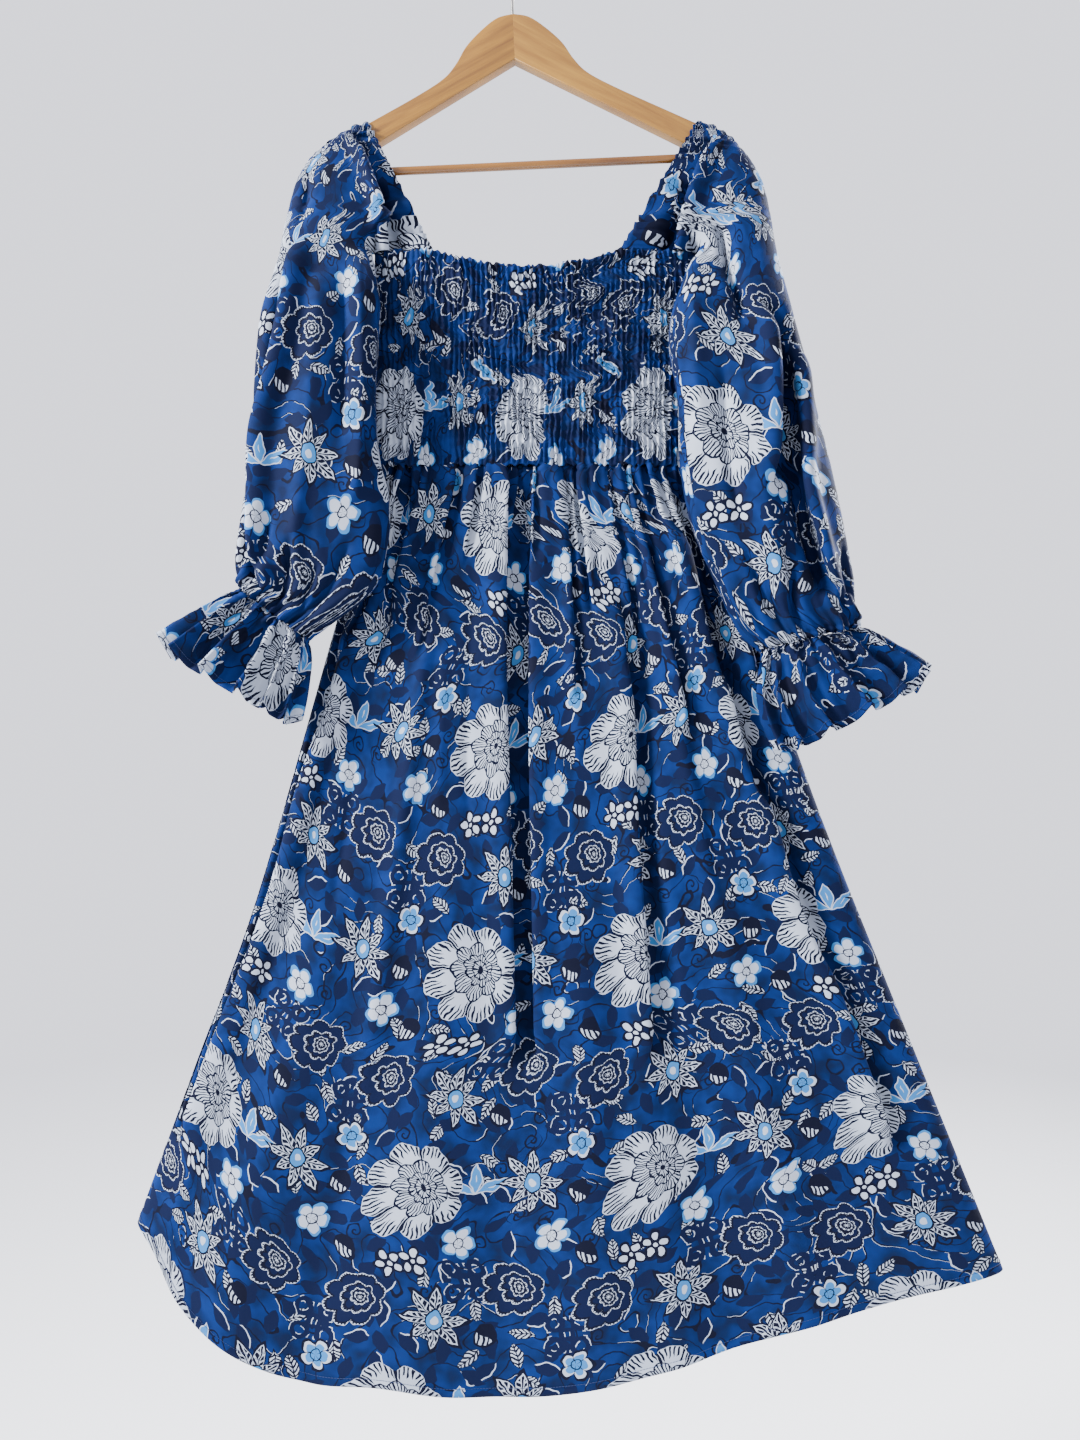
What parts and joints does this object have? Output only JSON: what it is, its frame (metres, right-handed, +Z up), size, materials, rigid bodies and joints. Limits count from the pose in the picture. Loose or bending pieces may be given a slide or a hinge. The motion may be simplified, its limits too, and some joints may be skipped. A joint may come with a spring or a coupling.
{
  "type": "maxi dress on a wooden hanger",
  "caption": "Long cotton dress with a square shirred bodice, full sleeves with flounced cuffs and a gathered skirt, hung on a flat wooden hanger with a bar.",
  "frame": {"origin": "inside of the hook's crown, where a rail or peg carries the hanger", "axes": "+Z up along the hanging line; -Y is the front of the dress; +X is to the right as seen from the front"},
  "size_m": [0.8682, 0.0843, 1.4317],
  "materials": {
    "printed_cotton": "matt printed cotton with a white, pale blue and navy flower print",
    "hanger_wood": "clear satin varnish on pale wood",
    "hook_steel": "dull bent wire"
  },
  "bodies": {
    "root": {"bodice_front": "printed_cotton", "bodice_back": "printed_cotton", "sleeve_left": "printed_cotton", "sleeve_right": "printed_cotton", "flounce_left": "printed_cotton", "flounce_right": "printed_cotton", "skirt_front": "printed_cotton", "skirt_back": "printed_cotton", "hanger_arm_left": "hanger_wood", "hanger_arm_right": "hanger_wood", "hanger_bar": "hanger_wood", "hanger_hook": "hook_steel"}
  },
  "joints": []
}
